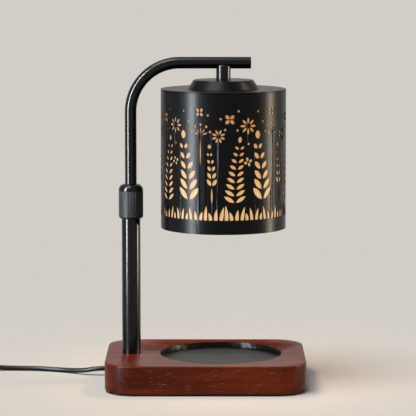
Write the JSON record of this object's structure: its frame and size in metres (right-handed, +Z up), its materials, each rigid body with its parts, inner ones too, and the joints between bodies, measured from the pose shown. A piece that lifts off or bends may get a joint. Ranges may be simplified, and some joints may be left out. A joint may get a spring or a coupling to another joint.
{
  "type": "candle warmer lamp",
  "caption": "Candle warmer lamp: wooden base with a round candle seat, sliding bent arm, pierced cylindrical metal shade, reflector bulb and a lead with a rotary dimmer.",
  "frame": {"origin": "middle of the base's outline, on the surface that its feet stand on", "axes": "+Z up, +X from the post towards the candle seat, +Y to the back"},
  "size_m": [0.4166, 0.13, 0.281],
  "materials": {
    "walnut": "satin varnish",
    "gloss_black": "gloss black paint",
    "satin_black": "satin black powder coat",
    "liner": "translucent cream film",
    "grip_rubber": "fluted matt rubber",
    "foot_rubber": "soft matt rubber",
    "cord_jacket": "smooth PVC",
    "moulded_black": "fine-textured moulding",
    "knob_black": "polished moulding",
    "plated_steel": "zinc plated",
    "brass": "plain",
    "nylon": "natural",
    "ceramic": "unglazed steatite",
    "bulb_glass": "clear",
    "reflector": "vapour-coated glass",
    "circuit_board": "solder-masked laminate",
    "wire_sleeve": "heat-proof sleeving"
  },
  "bodies": {
    "base": {"wood_base": "walnut", "lower_tube": "gloss_black", "recess_dish": "satin_black", "rubber_feet": "foot_rubber", "lead_cord": "cord_jacket", "feed_cord": "cord_jacket", "cord_coil": "cord_jacket", "tail_cord": "cord_jacket", "base_lead": "cord_jacket", "cord_grommet": "cord_jacket", "dimmer_reliefs": "cord_jacket", "plug_relief": "cord_jacket", "dimmer_top_shell": "moulded_black", "dimmer_bottom_shell": "moulded_black", "dimmer_posts": "moulded_black", "plug_body": "moulded_black", "coil_tie": "moulded_black", "dimmer_control": "knob_black", "bottom_plate": "plated_steel", "bottom_plate_screws": "plated_steel", "cord_clamp": "plated_steel", "cord_clamp_screws": "plated_steel", "post_nipple": "plated_steel", "post_washer": "plated_steel", "post_nut": "plated_steel", "dimmer_screws": "plated_steel", "plug_blades": "brass", "collet": "nylon", "clamp_block": "nylon", "wire_splices": "nylon", "dimmer_board": "circuit_board", "base_wires": "wire_sleeve", "post_wires": "wire_sleeve", "dimmer_wires": "wire_sleeve"},
    "slider": {"guide_bush": "nylon"},
    "arm": {"upper_tube": "gloss_black", "stop_rings": "brass", "arm_end_plug": "gloss_black", "arm_stem": "gloss_black", "stem_nipple": "plated_steel", "shade_cap": "gloss_black", "shade_top": "satin_black", "shade_wall": "satin_black", "shade_liner": "liner", "lamp_bracket": "plated_steel", "spring_washer": "plated_steel", "shade_nut": "plated_steel", "lampholder": "ceramic", "lampholder_screws": "plated_steel", "lampholder_contacts": "brass", "arm_wires": "wire_sleeve"},
    "bulb": {"bulb_reflector": "reflector", "bulb_lens": "bulb_glass", "bulb_base": "ceramic", "bulb_pins": "brass", "bulb_capsule": "bulb_glass"},
    "lock_nut": {"lock_nut": "gloss_black", "lock_nut_grip": "grip_rubber"},
    "dimmer_knob": {"dimmer_knob": "knob_black", "dimmer_shaft": "knob_black"}
  },
  "joints": [
    {"name": "height_slide", "type": "slide", "parent": "base", "child": "slider", "axis": [0, 0, 1], "range_m": [-0.045, 0.045], "deforming": ["post_wires"]},
    {"name": "arm_swivel", "type": "hinge", "parent": "slider", "child": "arm", "pos_m": [-0.064, 0, 0.1], "axis": [0, 0, 1], "range_deg": [-170, 170]},
    {"name": "lock_nut_turn", "type": "hinge", "parent": "base", "child": "lock_nut", "pos_m": [-0.064, 0, 0.157], "axis": [0, 0, 1], "range_deg": [0, 180]},
    {"name": "bulb_twist", "type": "hinge", "parent": "arm", "child": "bulb", "pos_m": [0.0152, 0, 0.22], "axis": [0, 0, 1], "range_deg": [-20, 0]},
    {"name": "dimmer_turn", "type": "hinge", "parent": "base", "child": "dimmer_knob", "pos_m": [-0.252, 0.048, 0.015], "axis": [0, 0, 1], "range_deg": [-270, 0]}
  ]
}
